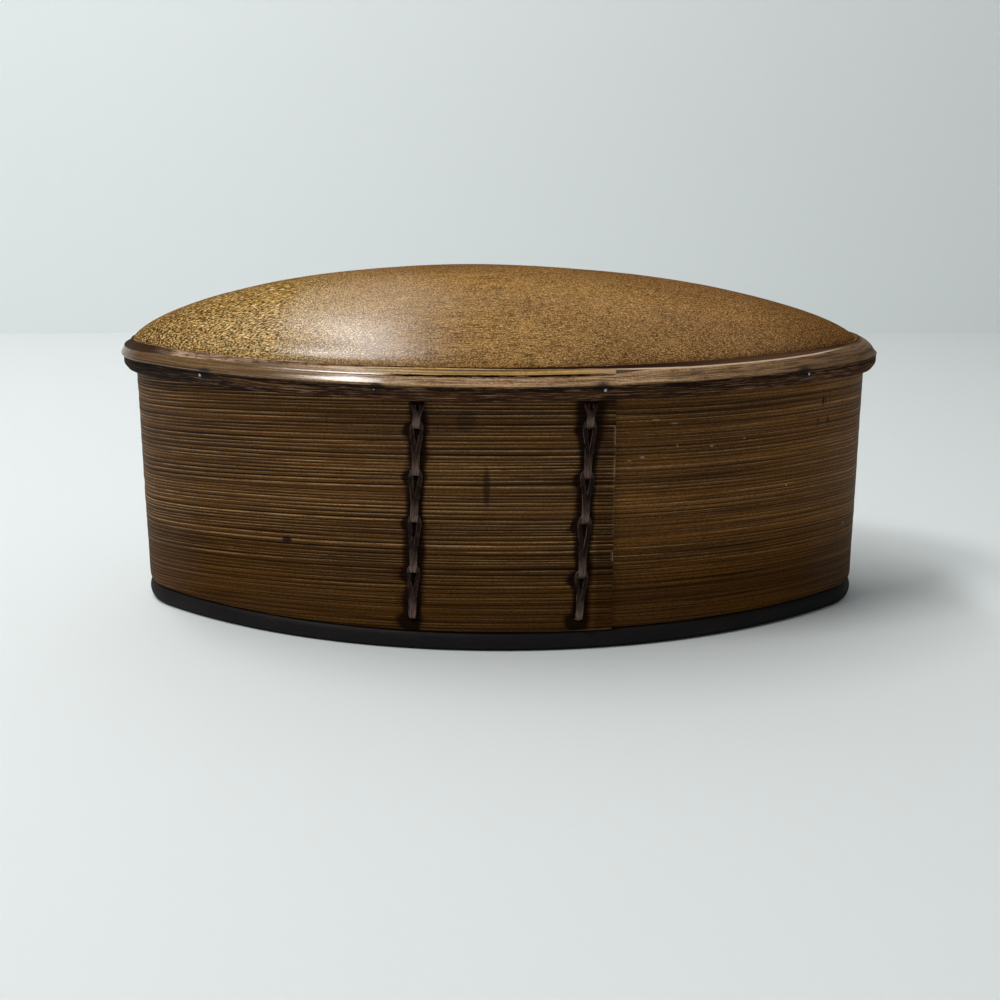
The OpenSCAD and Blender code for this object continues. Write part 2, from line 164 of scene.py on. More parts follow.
class Finish:
    """A material, built up node by node."""

    def __init__(self, name, **constants):
        self.material = bpy.data.materials.new(name)
        self.material.use_nodes = True
        self.tree = self.material.node_tree
        self.shader = self.tree.nodes["Principled BSDF"]
        self.paint(**constants)

    def node(self, kind, settings, sockets, output=0):
        """A new node with its settings and the values or links of its sockets."""
        made = self.tree.nodes.new(kind)
        for name, value in settings.items():
            setattr(made, name, value)
        for name, value in sockets.items():
            self.set(made.inputs[name], value)
        return Wire(self, made.outputs[output])

    def set(self, socket, value):
        if isinstance(value, Wire):
            self.tree.links.new(value.socket, socket)
        elif hasattr(value, "__len__") and socket.type == "RGBA":
            socket.default_value = (*value, 1.0)
        else:
            socket.default_value = value

    def paint(self, **sockets):
        for socket, value in sockets.items():
            self.set(self.shader.inputs[socket.replace("_", " ")], value)

    def field(self, name):
        """A number that the mesh holds at each point."""
        return self.node("ShaderNodeAttribute", {"attribute_name": name}, {}, 2)

    def field_place(self, name):
        """A place that the mesh holds at each point."""
        return self.node("ShaderNodeAttribute", {"attribute_name": name}, {}, 1)

    def place(self, turn=(0, 0, 0)):
        """Where the point lies in the object, in mm, turned in degrees."""
        metres = self.node("ShaderNodeTexCoord", {}, {}, 3)
        turn = [math.radians(angle) for angle in turn]
        sockets = {"Vector": metres, "Rotation": turn, "Scale": [1 / MM] * 3}
        return self.node("ShaderNodeMapping", {}, sockets)

    def axis(self, place, number):
        """One number of a place: 0 is along the box, 1 is from front to back and 2 is up."""
        return self.node("ShaderNodeSeparateXYZ", {}, {0: place}, number)

    def vector(self, operation, place, other, output=0):
        return self.node("ShaderNodeVectorMath", {"operation": operation}, {0: place, 1: other}, output)

    def steps(self, place, sizes):
        """The place counted in steps of so many mm along each axis."""
        return self.vector("MULTIPLY", place, [1.0 / size for size in sizes])

    def noise(self, place, sizes, detail, rough=0.5):
        """Noise whose grains measure sizes mm along each axis."""
        sockets = {"Vector": self.steps(place, sizes), "Scale": 1.0, "Detail": detail, "Roughness": rough}
        return self.node("ShaderNodeTexNoise", {}, sockets)

    def spot(self, place, centre, sizes, soft=0.6):
        """1 at the centre, fading to 0 where sizes mm are reached."""
        away = self.vector("ADD", place, [-c for c in centre])
        length = self.vector("LENGTH", self.steps(away, sizes), (0, 0, 0), 1)
        return length.ramp(1 - soft, 1.0, 1.0, 0.0)

    def specks(self, place, cell, size, share):
        """Small specks, one to a cell of so many mm in that share of the cells."""
        sockets = {"Vector": self.steps(place, cell), "Scale": 1.0}
        away = self.node("ShaderNodeTexVoronoi", {}, sockets)
        chance = self.axis(self.node("ShaderNodeTexVoronoi", {}, sockets, 1), 0)
        return away.ramp(size * 0.5, size, 1.0, 0.0) * chance.ramp(share, share + 0.01, 1.0, 0.0)

    def mix(self, share, first, second):
        """A colour between two colours."""
        return self.node("ShaderNodeMix", {"data_type": "RGBA"}, {0: share, 6: first, 7: second}, 2)

    def coats(self, colour, *coats):
        """Colours laid one after another over a first one, each by its share."""
        for share, coat in coats:
            colour = self.mix(share, colour, coat)
        return colour

    def shade(self, colour, level):
        return self.node("ShaderNodeVectorMath", {"operation": "SCALE"}, {0: colour, "Scale": level})

    def bump(self, height):
        """Raises the surface by a height in mm."""
        sockets = {"Height": height, "Distance": MM, "Strength": 1.0}
        self.paint(Normal=self.node("ShaderNodeBump", {}, sockets))

    def rub_off(self, share):
        """Takes off the shine by a share: the same paint without its gloss is mixed in."""
        sockets = {"Specular IOR Level": 0.0}
        for name in ("Base Color", "Normal"):
            for link in self.shader.inputs[name].links:
                sockets[name] = Wire(self, link.from_socket)
        matt = self.node("ShaderNodeBsdfPrincipled", {}, sockets)
        shiny = Wire(self, self.shader.outputs[0])
        mixed = self.node("ShaderNodeMixShader", {}, {0: share, 1: shiny, 2: matt})
        self.set(self.tree.nodes["Material Output"].inputs["Surface"], mixed)

    def on(self, made):
        made.data.materials.append(self.material)
        return made


ring_u = np.linspace(0, girth, 420, endpoint=False)
shares = [0.02, 0.2, 0.4, 0.6, 0.75, 0.86, 0.93, 0.97]
edge_turns = np.radians(np.linspace(-90, 90, 19))
step_top = base_t + base_step
base_rows = [(0.0, 0.0, share) for share in shares]
base_rows += [(base_round * (math.cos(a) - 1), base_t / 2 * (1 + math.sin(a)), 1.0) for a in edge_turns]
base_rows += [(-band_t - step_gap, base_t, 1.0), (-band_t - step_bevel, step_top - step_bevel, 1.0)]
base_rows += [(-band_t - 2 * step_bevel, step_top, share) for share in [1.0] + shares[::-1]]
rows = []
for off, z, share in base_rows:
    x, y = oval(ring_u, off - (base_round if share < 1 and z == 0 else 0))
    x, y = x * share, y * share
    dip = base_wear * (hills(1, x, y, 30, 12) - 1) * (1 - share if z in (0, step_top) else edge_wear)
    rows.append(np.stack([x, y, z - dip if z == 0 else z + dip * (z > base_t)], -1))
base_board = skin("black_base_board", np.array(rows))

black_stain, bare_brown = (0.009, 0.007, 0.007), (0.045, 0.028, 0.017)
black = Finish("black_stained_board")
fibre = black.noise(black.place(), (28, 0.35, 0.35), 4, 0.6)
patch = black.noise(black.place(), (26, 12, 12), 3)
thin_stain = (fibre * 0.7 + patch * 0.5).ramp(0.66, 0.9)
black.paint(Base_Color=black.mix(thin_stain, black_stain, bare_brown), Roughness=0.40 + patch * 0.25)
black.bump(fibre * 0.12)
black.rub_off(0.85 - patch * 0.3)
black.on(base_board)
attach(base_board, "box")
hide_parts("base_board")

# Side band: one strip of softwood, brushed so that the hard lines of its grain stand
# proud, then bent to the oval and varnished. Both ends are thinned and lie over each
# other at the front, the outer end on the right of the lacing.
band_foot, band_h = base_t, 74.4
band_top = band_foot + band_h
lap_len, lap_tip, lap_blend, glue = 69.0, 0.7, 60.0, 0.1
lap_half = lap_len / 2
lap_fall = band_t - 2 * lap_tip - glue
inner_end = girth - lap_half
foot_d, foot_h, top_round = 1.1, 2.4, 0.4
column_x, column_lean = (-25.5, 25.5), math.radians(2.3)
# Heights of the stitches' feet from the top down, in the left and in the right column.
column_feet = ((69.9, 55.6, 41.2, 25.3, 10.6), (70.2, 54.9, 40.9, 23.8, 10.4))
side_step, end_step, hole_step, hole_reach = 4.0, 2.2, 0.36, 3.4


def ease(x, start, end):
    """0 before start, 1 after end, and a smooth rise between them."""
    t = np.clip((np.asarray(x, float) - start) / (end - start), 0, 1)
    return t * t * (3 - 2 * t)


def quarter_round(share):
    """How far a rounded edge has fallen back, from 0 where it starts to 1 at its tip."""
    return 1 - np.sqrt(1 - np.clip(share, 0, 1) ** 2)


def add_mark(marks, away, near, far):
    """The marks with one more: full where away is under near, and gone beyond far."""
    return np.maximum(marks, 1 - ease(away, near, far))


def outer_face(u):
    inner_layer = -lap_tip - glue - lap_fall * (u - inner_end) / lap_len
    rest = -(lap_tip + glue) * np.clip((u - (inner_end - lap_blend)) / lap_blend, 0, 1)
    return np.where(u < inner_end, rest, inner_layer)


def inner_face(u):
    outer_layer = -lap_tip - lap_fall * (u + lap_half) / lap_len
    share = np.clip((u - lap_half) / lap_blend, 0, 1)
    return np.where(u < lap_half, outer_layer, -(lap_tip + lap_fall) * (1 - share) - band_t * share)


def column_at(side, z):
    """How far right of the middle a lacing column stands at height z, along the face."""
    return column_x[side] + (z - band_foot - band_h / 2) * math.tan(column_lean)


# The stations along the strip are close together at its tips and where the lacing passes.
corners = [-lap_half, side_half, side_half + end_arc, 3 * side_half + end_arc,
           3 * side_half + 2 * end_arc, girth + lap_half]
stations = []
for start, stop, step in zip(corners, corners[1:], (side_step, end_step, side_step, end_step, side_step)):
    stations.append(np.linspace(start, stop, round((stop - start) / step) + 1)[1:])
stations = np.concatenate(stations)[:-1]
tips = np.array([0, 0.25, 0.6, 1.2, 2.0])
stations = stations[(stations > -lap_half + 3) & (stations < girth + lap_half - 3)]
for side in (0, 1):
    holes = [-column_at(side, z) for z in (band_foot, band_top)]
    low, high = min(holes) - hole_reach, max(holes) + hole_reach
    clear = stations[(stations < low) | (stations > high)]
    stations = np.concatenate([clear, np.arange(low, high, hole_step)])
stations = np.sort(np.concatenate([stations, -lap_half + tips, girth + lap_half - tips]))

# Each station goes up the outside from the rounded foot, over the top edge and down inside.
shoulder_z = band_top - top_round
foot_turn = np.radians(np.linspace(0, 90, 9))
top_turn = np.radians(np.linspace(0, 90, 5))[1:]
outside_z = np.concatenate([
    band_foot + foot_h * (1 - np.cos(foot_turn)),
    np.linspace(band_foot + foot_h, shoulder_z, 210)[1:],
])
edge_z = shoulder_z + top_round * np.sin(top_turn)
all_z = np.concatenate([outside_z, edge_z, edge_z[::-1], np.linspace(shoulder_z, band_foot, 46)])
outside = (np.arange(len(all_z)) < len(outside_z) + len(edge_z))[None, :]
U, Z = np.meshgrid(stations, all_z, indexing="ij")
face = np.where(outside, outer_face(U), inner_face(U))
rounding = foot_d * quarter_round(1 - (Z - band_foot) / foot_h)
shoulder = top_round * quarter_round((Z - shoulder_z) / top_round)

# The lines of the grain fall a little from the middle of the front towards its ends. They
# are bold on the left, and fainter along the foot and towards the strip's inner end.
grain_peak, grain_bend, grain_sway = 5.0, 0.0008, 0.02
grain_u = np.linspace(-40, 640, 1361)
grain_slope = -grain_bend * (grain_u - grain_peak) * (1 - ease(grain_u, 95, 150))
grain_slope += grain_sway * hills(2, grain_u, 0 * grain_u, 90, 1) * ease(grain_u, 110, 170)
grain_rise = np.cumsum(grain_slope) * (grain_u[1] - grain_u[0])
grain_rise -= np.interp(grain_peak, grain_u, grain_rise)
warp = 0.30 * hills(11, U, Z, 110, 16) + 0.06 * hills(12, U, Z, 32, 5)
grain_z = Z - np.interp(U, grain_u, grain_rise) + warp
boldness = 1 - 0.50 * ease(U, girth - 330, girth - 240) - 0.45 * ease(-Z, -27, -17)
line_mark = np.clip(boldness, 0.2, 1) * (0.80 + 0.20 * hills(13, U, grain_z, 60, 4))
swell = 0.09 * hills(15, U, grain_z, 160, 2.6) + 0.05 * hills(16, U, grain_z, 90, 1.3)
relief = -0.12 + np.clip(boldness, 0.3, 1) * swell - 0.05 * (hills(14, U, Z, 40, 14) + 1)

# Dark dirt has gathered round the lacing, to the right of it and at its top right. The same
# dark mark also holds painted shadow: the lacing's shadow round each column and in the hole
# under each stitch's foot, and a shadow line along the lap's outer end. The hole at the foot
# of each stitch is a pit in the wood.
pit_depth = 1.3
soot_and_shadow_mark, pit = np.zeros_like(U), np.zeros_like(U)
soot_and_shadow_edge, blot_edge = hills(22, U, Z, 2, 2), hills(24, U, Z, 2, 2)
# Round each column and under each foot the mark is partly dirt and partly painted shadow.
for side in (0, 1):
    across = -U - column_at(side, Z)
    reach = 2.5 + 0.9 * hills(20 + side, U, Z, 3, 5) + 2.4 * side * ease(Z, 58, 76)
    soot_and_shadow_mark = add_mark(soot_and_shadow_mark, abs(across), reach * 0.5, reach * 1.7)
    for foot in column_feet[side]:
        above = Z - foot
        pit = add_mark(pit, np.hypot(across / 1.5, above + 0.2), 0.75, 1.15)
        soot_and_shadow_mark = add_mark(soot_and_shadow_mark, np.hypot(across, (above + 1) * 0.8), 1.4, 4.8 + soot_and_shadow_edge)
        soot_and_shadow_mark = add_mark(soot_and_shadow_mark, np.hypot(across + 1.6, above + 1.2), 1.8, 3.9 + blot_edge)
soot_and_shadow_mark = np.maximum(soot_and_shadow_mark, 0.42 * ease(-U, 27.5, 30))
to_right = np.where(U > girth / 2, girth - U, -U)
near_top = ease(Z + 0.8 * hills(23, to_right, Z, 3, 4), 73.0, 76.5)
soot_and_shadow_mark = np.maximum(soot_and_shadow_mark, 0.62 * ease(to_right, 22, 25) * (1 - ease(to_right, 33, 39)) * near_top)
# Painted shadow: a dark line along the edge of the lap's outer end.
lap_edge_shadow = 1 - ease(abs(U - (inner_end - 0.4)), 0.2, 1.4)
soot_and_shadow_mark = np.maximum(soot_and_shadow_mark, 0.7 * lap_edge_shadow)

# The lap's outer end lifts a little in one stretch, and its edge has a painted highlight in three.
lit_stretches = ((28, 31), (54.5, 60), (64.5, 70))
lift = 0.30 * (1 - ease(U, -lap_half, -lap_half + 5)) * ease(Z, 38, 52) * (1 - ease(Z, 66, 74))
lap_edge_highlight = 1 - ease(U, -lap_half, -lap_half + 0.8)
lit_stretch = np.any([(Z > low) & (Z < high) for low, high in lit_stretches], axis=0)
lap_edge_highlight = lap_edge_highlight * np.where(lit_stretch, 1.0, 0.25 * ((Z > 36) & (Z < 70)))
proud = np.where(outside, relief - rounding - shoulder - pit_depth * pit + lift, shoulder)
x, y = oval(U, face + proud)
side_band = skin(
    "laced_side_band",
    np.stack([x, y, Z], -1),
    {
        "grain": np.stack([U, grain_z, face], -1),
        "line": np.where(outside, line_mark, 0.5 * line_mark),
        "soot_and_shadow": np.where(outside, soot_and_shadow_mark, 0),
        "tip": np.where(outside, lap_edge_highlight, 0),
        "inside": np.where(outside, 0, 1),
    },
    crease=60,
)

# Its finish: brown varnished wood in pale and dark lines, one pair to each year of growth; each
# pale line is partly a painted highlight on the lip below a dark groove.
wood_brown, wood_tan, ridge_tan_and_highlight = (0.118, 0.047, 0.0078), (0.210, 0.085, 0.0155), (0.660, 0.400, 0.180)
streak_brown, thread_brown, thread_tan = (0.034, 0.014, 0.003), (0.030, 0.012, 0.003), (0.240, 0.130, 0.050)
line_black, foot_shade_brown = (0.0030, 0.0012, 0.0006), (0.030, 0.010, 0.0003)
soot_and_shadow_black = (0.010, 0.005, 0.004)
tip_tan, scratch_tan = (0.30, 0.20, 0.12), (0.36, 0.27, 0.19)
raw_tan, raw_brown, raw_line = (0.23, 0.135, 0.060), (0.14, 0.075, 0.032), (0.07, 0.035, 0.015)
year_h = 1.25
brushed = Finish("brushed_and_varnished_softwood")
grain = brushed.field_place("grain")
line = brushed.field("line")
soot_and_shadow = brushed.field("soot_and_shadow")
tip = brushed.field("tip")
inside = brushed.field("inside")
band_place = brushed.place()
height = brushed.axis(band_place, 2)
cloud = brushed.noise(grain, (40, 18, 5), 3)
blotch = brushed.noise(grain, (10, 4, 5), 3, 0.55)
streak = brushed.noise(grain, (230, 4.0, 5), 2, 0.6)
uneven = brushed.noise(grain, (60, 1.0, 5), 2)
thread = brushed.noise(grain, (60, 0.22, 3), 2, 0.6)
fray = brushed.noise(grain, (9, 0.6, 5), 2, 0.6)
grit = brushed.noise(grain, (0.9, 0.36, 0.9), 2, 0.6)
wander = brushed.noise(grain, (420, 6.5, 5), 1) * 4.4 + brushed.noise(grain, (230, 1.9, 5), 1) * 1.1
year = ((brushed.axis(grain, 1) + wander) / year_h) % 1.0
late = year.ramp(0.25, 0.35, 1, 0) * (0.30 + 0.70 * line) * uneven.ramp(0.32, 0.52, 0.30, 1.0)
# The pale line just under each dark one: the wood's lighter early growth with a painted highlight.
early_wood_and_highlight = year.ramp(0.60, 0.86) * line * uneven.ramp(0.36, 0.58, 0.30, 1.0) * fray.ramp(0.34, 0.56, 0.35, 1.0)
wood = brushed.coats(
    brushed.mix(line.ramp(0.75, 0.40), wood_brown, wood_tan),
    (early_wood_and_highlight * 0.95, ridge_tan_and_highlight),
    (streak.ramp(0.35, 0.66) * 0.5, streak_brown),
    (thread.ramp(0.50, 0.62) * (0.90 - 0.30 * line), thread_brown),
    (thread.ramp(0.44, 0.34) * 0.30, thread_tan),
    (late * 0.97, line_black),
)
wood = brushed.shade(wood, (0.70 + 0.60 * cloud) * grit.ramp(0.30, 0.70, 0.72, 1.32))
# Painted shade: the band grows darker and browner towards its foot.
wood = brushed.mix(height.ramp(46, 12) * 0.38, wood, foot_shade_brown)
wood = brushed.shade(wood, height.ramp(10, 38, 0.70, 1.0))

# Dark marks, each as its place along and up the strip, its size and its strength, and pale
# scratches, each as how far right of the middle and how high it is, its length and its width.
dark_marks = (((67.6, 33.5), (2.6, 1.5), 0.9), ((4.0, 52.0), (1.5, 10.0), 0.7),
              ((10.0, 72.0), (5.0, 5.5), 0.55))
scratches = ((42.5, 59.8, 1.0, 0.5), (38.6, 58.9, 0.8, 0.3), (52.2, 69.6, 1.6, 0.3), (46.4, 71.0, 1.6, 0.3),
             (53.3, 62.6, 0.4, 0.5), (64.2, 61.6, 0.8, 0.4), (74.8, 63.0, 0.5, 0.4))
through = 50
smudge_at, smudge_size = (461, 74, 0), (10, 9, through)
front_y, front_reach = -52, 40
smudge = brushed.noise(grain, (1.3, 9.0, 5), 2, 0.6).ramp(0.58, 0.66)
marks = smudge * brushed.spot(grain, smudge_at, smudge_size)
for at, size, strength in dark_marks:
    marks = marks + brushed.spot(grain, (*at, 0), (*size, through)) * strength
pale = brushed.specks(grain, (9.5, 8.5, 60), 0.055, 0.55) * 0.8
for x, z, wide, high in scratches:
    pale = pale + brushed.spot(band_place, (x, front_y, z), (wide, front_reach, high)) * 0.7
raw = brushed.mix(streak.ramp(0.25, 0.75), raw_tan, raw_brown)
raw = brushed.mix(late * 0.4, brushed.shade(raw, 0.7 + 0.5 * cloud), raw_line)
# Laid over the wood: dark marks, dirt with painted shadow, a painted highlight on the lap's edge, pale
# scratches, and bare wood inside.
wood = brushed.coats(
    wood,
    (marks.ramp(0.1, 1.1), soot_and_shadow_black),
    (soot_and_shadow.ramp(0.05, 0.9) * 0.94, soot_and_shadow_black),
    # Painted highlight along the lap's outer edge.
    (tip * grit.ramp(0.34, 0.50) * 0.9, tip_tan),
    (pale, scratch_tan),
    (inside, raw),
)
brushed.paint(Base_Color=wood, Roughness=0.36 + 0.14 * blotch + 0.2 * inside + 0.15 * soot_and_shadow)
brushed.bump(early_wood_and_highlight * 0.05 - late * 0.15 - thread.ramp(0.45, 0.70) * 0.05)
at_ends = abs(brushed.axis(band_place, 0)).ramp(92, 114)
brushed.rub_off(height.ramp(12, 60, 0.95, 0.85) + 0.2 * (cloud - 0.5) + 0.15 * soot_and_shadow - at_ends * 0.19)
brushed.on(side_band)
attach(side_band, "box")
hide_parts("side_band")

# Lacing: two strips of dark bark, each worked as a chain up its column. A stitch comes
# out at its foot, loops behind the foot above and goes back in at its own foot.
strip_w, strip_t, slack = 1.35, 0.5, 0.15
pair_x = 0.50
low_h = strip_t / 2 + 0.1
high_h = low_h + strip_t + slack
inside_h = -band_t - low_h
bend_r, bend_out, spread, tail = 0.35, 1.05, 1.5, 2.5
past_loop = spread + 0.1 + strip_w
top_spread = pair_x + 0.75
anchor_z = band_top - 3.2
sway, path_step, press = 0.22, 0.28, 2.2
strip_sides, side_power, face_power, dish_depth = 18, 0.55, 0.6, 0.35


def leg(side, z0, z1, x0, x1, h0, h1, turn, steps):
    """One leg of a stitch, as points of x, height over the face, z, and turn in degrees."""
    share = np.linspace(0, 1, steps + 1)
    soft = (1 - np.cos(np.pi * (share if side < 0 else 1 - share) ** 1.7)) / 2
    soft = soft if side < 0 else 1 - soft
    pressed = 1 - (1 - share) ** press if side < 0 else share ** press
    return [(side * (x0 + (x1 - x0) * s), h0 + (h1 - h0) * p, z0 + (z1 - z0) * t, turn)
            for t, s, p in zip(share, soft, pressed)]


def bend(x, h, z, start, end, turn):
    turns = np.radians(np.linspace(start, end, 3))
    return [(x, h + bend_r * math.cos(a), z + bend_r * math.sin(a), turn) for a in turns]


def half_loop(r, h, z, turn):
    return [(-r * math.cos(math.radians(a)), h, z + r * math.sin(math.radians(a)), turn + a)
            for a in np.arange(22.5, 160, 22.5)]


def out_and_up(z, turn):
    return (bend(-pair_x, inside_h + bend_r, z + bend_r, 180, 270, turn)
            + bend(-pair_x, high_h - bend_r, z + bend_r, 270, 360, turn))


def top_stitch(top):
    """The first stitch, which hangs from two holes under the top edge instead of a foot."""
    return ([(-pair_x, inside_h, top + 2 * tail, 0)] + out_and_up(top, 0)
            + leg(-1, top + past_loop, anchor_z - bend_out, pair_x, top_spread, high_h, low_h, 0, 3)
            + bend(-top_spread, low_h - bend_r, anchor_z - bend_r, 0, 90, 0)
            + bend(-top_spread, inside_h + bend_r, anchor_z + bend_r, 270, 180, 0)
            + half_loop(top_spread, inside_h, anchor_z + bend_r, 0)
            + bend(top_spread, inside_h + bend_r, anchor_z + bend_r, 180, 270, 180)
            + bend(top_spread, low_h - bend_r, anchor_z - bend_r, 90, 0, 180)
            + leg(1, anchor_z - bend_out, top + past_loop, top_spread, pair_x, low_h, high_h, 180, 3)
            + bend(pair_x, high_h - bend_r, top + bend_r, 360, 270, 180))


def stitch(z, above, turn):
    return (bend(pair_x, inside_h + bend_r, above - bend_r, 90, 180, turn)
            + leg(1, above - bend_out, z + bend_out, pair_x, -pair_x, inside_h, inside_h, turn, 3)
            + out_and_up(z, turn)
            + leg(-1, z + past_loop, above - 0.3, pair_x, spread, high_h, low_h, turn, 5)
            + half_loop(spread, low_h, above + 0.1, turn)
            + leg(1, above - 0.3, z + past_loop, spread, pair_x, low_h, high_h, turn + 180, 5)
            + bend(pair_x, high_h - bend_r, z + bend_r, 360, 270, turn + 180))


def strip_route(feet):
    """The strip's whole way, as evenly spaced points, with its corners eased."""
    path = top_stitch(feet[0])
    for i in range(1, len(feet)):
        path += stitch(feet[i], feet[i - 1], 180 * i)
    path += bend(pair_x, inside_h + bend_r, feet[-1] + bend_r, 270, 180, 180 * len(feet))
    path.append((pair_x, inside_h, feet[-1] + tail, 180 * len(feet)))
    path = np.array(path, float)
    path = path[np.r_[True, np.linalg.norm(np.diff(path[:, :3], axis=0), axis=1) > 0.02]]
    length = np.r_[0, np.cumsum(np.linalg.norm(np.diff(path[:, :3], axis=0), axis=1))]
    steps = np.arange(0, length[-1], path_step)
    path = np.stack([np.interp(steps, length, path[:, q]) for q in range(4)], -1)
    for _ in range(2):
        path[1:-1] = (path[:-2] + 2 * path[1:-1] + path[2:]) / 4
    return steps, path


def lacing(side):
    """The strip of one column: flat, a little dished, and marked where a painted sheen lies near each
    stitch's foot.
    """
    feet = column_feet[side]
    steps, path = strip_route(feet)
    swayed = path[:, 0] + sway * hills(36 + side, path[:, 2], 0 * path[:, 2], 7.5, 1)
    a = (swayed + column_at(side, path[:, 2])) / side_r
    r = side_r + path[:, 1]
    centre = np.stack([r * np.sin(a), side_y - r * np.cos(a), path[:, 2]], -1)
    ahead = np.gradient(centre, axis=0)
    ahead /= np.linalg.norm(ahead, axis=1)[:, None]
    turn = np.radians(path[:, 3])
    across = np.stack([np.cos(a) * np.cos(turn), np.sin(a) * np.cos(turn), -np.sin(turn)], -1)
    up = np.cross(ahead, across)
    up /= np.linalg.norm(up, axis=1)[:, None]
    across = np.cross(up, ahead)
    round_by = np.linspace(0, 2 * np.pi, strip_sides, endpoint=False)
    side_part = np.sign(np.cos(round_by)) * abs(np.cos(round_by)) ** side_power
    up_part = np.sign(np.sin(round_by)) * abs(np.sin(round_by)) ** face_power
    dish = 1 - dish_depth * np.clip(1 - abs(side_part) * 1.4, 0, 1)
    foot_below = [max([foot for foot in feet if foot <= z + 0.3] or [feet[-1]]) for z in path[:, 2]]
    rise = path[:, 2] - np.array(foot_below)
    tongue = ease(path[:, 1], 0.2, 0.6) * (1 - 0.65 * ease(rise, 0.8, 4.5) - 0.35 * ease(rise, 3.5, 8.0))
    wide = 1 + 0.08 * hills(30 + side, steps, 0 * steps, 2.3, 1)
    wide = wide - 0.34 * tongue * (1 - ease(rise, 0.1, 1.3))
    thick = 1 + 0.14 * hills(32 + side, steps, 0 * steps, 1.7, 1)
    rows = (centre[:, None, :]
            + across[:, None, :] * (side_part * strip_w / 2)[None, :, None] * wide[:, None, None]
            + up[:, None, :] * (up_part * dish * strip_t / 2)[None, :, None] * thick[:, None, None])
    on_strip = np.broadcast_arrays(steps[:, None], side_part * strip_w / 2, up_part * strip_t)
    fields = {
        "strip": np.stack(on_strip, -1),
        "rim": abs(side_part)[None, :],
        "deep_in_shade": 1 - ease(path[:, 1], -0.2, 0.5)[:, None],
        "tongue": tongue[:, None],
    }
    return skin(("left", "right")[side] + "_bark_lacing", rows, fields, crease=70)


bark_black, bark_brown, painted_sheen_bark = (0.010, 0.005, 0.004), (0.036, 0.019, 0.013), (0.175, 0.114, 0.086)
edge_highlight_tan, fibre_brown, hole_shade_black = (0.210, 0.145, 0.110), (0.012, 0.006, 0.005), (0.005, 0.004, 0.004)
bark = Finish("dark_split_bark")
strip = bark.field_place("strip")
# Painted highlight along the strip's edges.
strip_edge_highlight = bark.field("rim").ramp(0.80, 0.97)
# Painted shade on the strip where it goes into the holes and runs inside the band.
deep_in_shade = bark.field("deep_in_shade")
tongue = bark.field("tongue")
fibre = bark.noise(strip, (3.5, 0.22, 0.22), 3, 0.6)
mottle = bark.noise(strip, (2.2, 0.8, 0.8), 2)
# Painted light on the bark: a sheen near each stitch's foot, highlights along the strip's edges, and
# painted shade where it goes into the holes and runs inside.
tone = bark.coats(
    bark.mix(mottle.ramp(0.35, 0.7), bark_black, bark_brown),
    (tongue * (0.55 + 0.45 * mottle.ramp(0.3, 0.6)), painted_sheen_bark),
    (strip_edge_highlight * mottle.ramp(0.40, 0.52) * (0.85 - 0.4 * tongue), edge_highlight_tan),
    (fibre.ramp(0.48, 0.62) * 0.7, fibre_brown),
    (deep_in_shade, hole_shade_black),
)
bark.paint(Base_Color=tone, Roughness=0.30 + 0.25 * mottle)
bark.bump(fibre * 0.10)
bark.rub_off(0.90 - 0.12 * tongue)
for side, node in enumerate(("left_lacing", "right_lacing")):
    strip_piece = bark.on(lacing(side))
    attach(strip_piece, "box")
    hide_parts(node)

# Lid board: carved from one piece of hardwood, domed above, gouged hollow below, with a
# V groove that sets the dome off from a rounded rim. The rim has split along its front.
lid_overhang, rim_lip, rim_w, rim_h, rim_belly, rim_section = 4.3, 0.6, 4.9, 5.2, 0.3, 1.5
hoop_h, hoop_reach, lid_fit = 4.6, 2.2, 0.35
groove_w, groove_d, groove_shift, ledge_w = 1.1, 0.7, 1.9, 7.0
crown_h, crown_shift, crown_power, lid_t = 27.6, 9.7, 0.71, 7.0
hoop_foot = band_top - hoop_reach
rim_foot = hoop_foot + hoop_h
rim_top = rim_foot + rim_h
widest_z = rim_foot + rim_belly
crown_z = widest_z + crown_h
hoop_top_off = lid_overhang - rim_lip
groove_off = lid_overhang - rim_w
dome_off = groove_off - groove_w
dome_foot = rim_top - groove_d / 3
ledge_bevel, rim_tuck = 0.12, 0.2
nail_x = (-90.0, -36.0, 30.0, 93.0)
HOLLOW, LEDGE, RIM, GROOVE, DOME = range(5)

lid_u = np.linspace(0, girth, 520, endpoint=False)
profile = []


def dome_row(off, foot, top, shift, a, part):
    rise = foot + (top - foot) * math.sin(a) ** (2 * crown_power)
    profile.append((off, rise, math.cos(a), shift + (crown_shift - shift) * math.sin(a) ** 2, part))


def flat_row(off, z, part, shift=0.0):
    profile.append((off, z, 1.0, shift, part))


for a in np.radians(np.linspace(89.2, 0, 34)):
    dome_row(-ledge_w, band_top, crown_z - lid_t, 0, a, HOLLOW)
for t in np.linspace(0, 1, 5)[1:]:
    flat_row(-ledge_w + t * (ledge_w + lid_fit), band_top, LEDGE)
for t, off in ((0.2, 0.0), (0.8, 0.0), (1.0, ledge_bevel)):
    flat_row(lid_fit + off, band_top + t * (rim_foot - band_top), LEDGE)
for t in np.linspace(0, 1, 4)[1:]:
    flat_row(lid_fit + t * (hoop_top_off - rim_tuck - lid_fit), rim_foot, LEDGE)
for t in (0.25, 0.5, 0.75):
    flat_row(hoop_top_off + rim_lip * t ** 0.7, rim_foot + rim_belly * t ** 1.5, RIM)
for a in np.radians(np.linspace(0, 89, 34)):
    off = groove_off + rim_w * math.cos(a) ** rim_section
    z = widest_z + (rim_top - widest_z) * math.sin(a) ** rim_section
    flat_row(off, z, RIM, groove_shift * a / (math.pi / 2))
groove_t = np.linspace(0, 1, 9)[1:-1]
groove_dip = groove_d * (1 - abs(2 * groove_t - 1) ** 1.3)
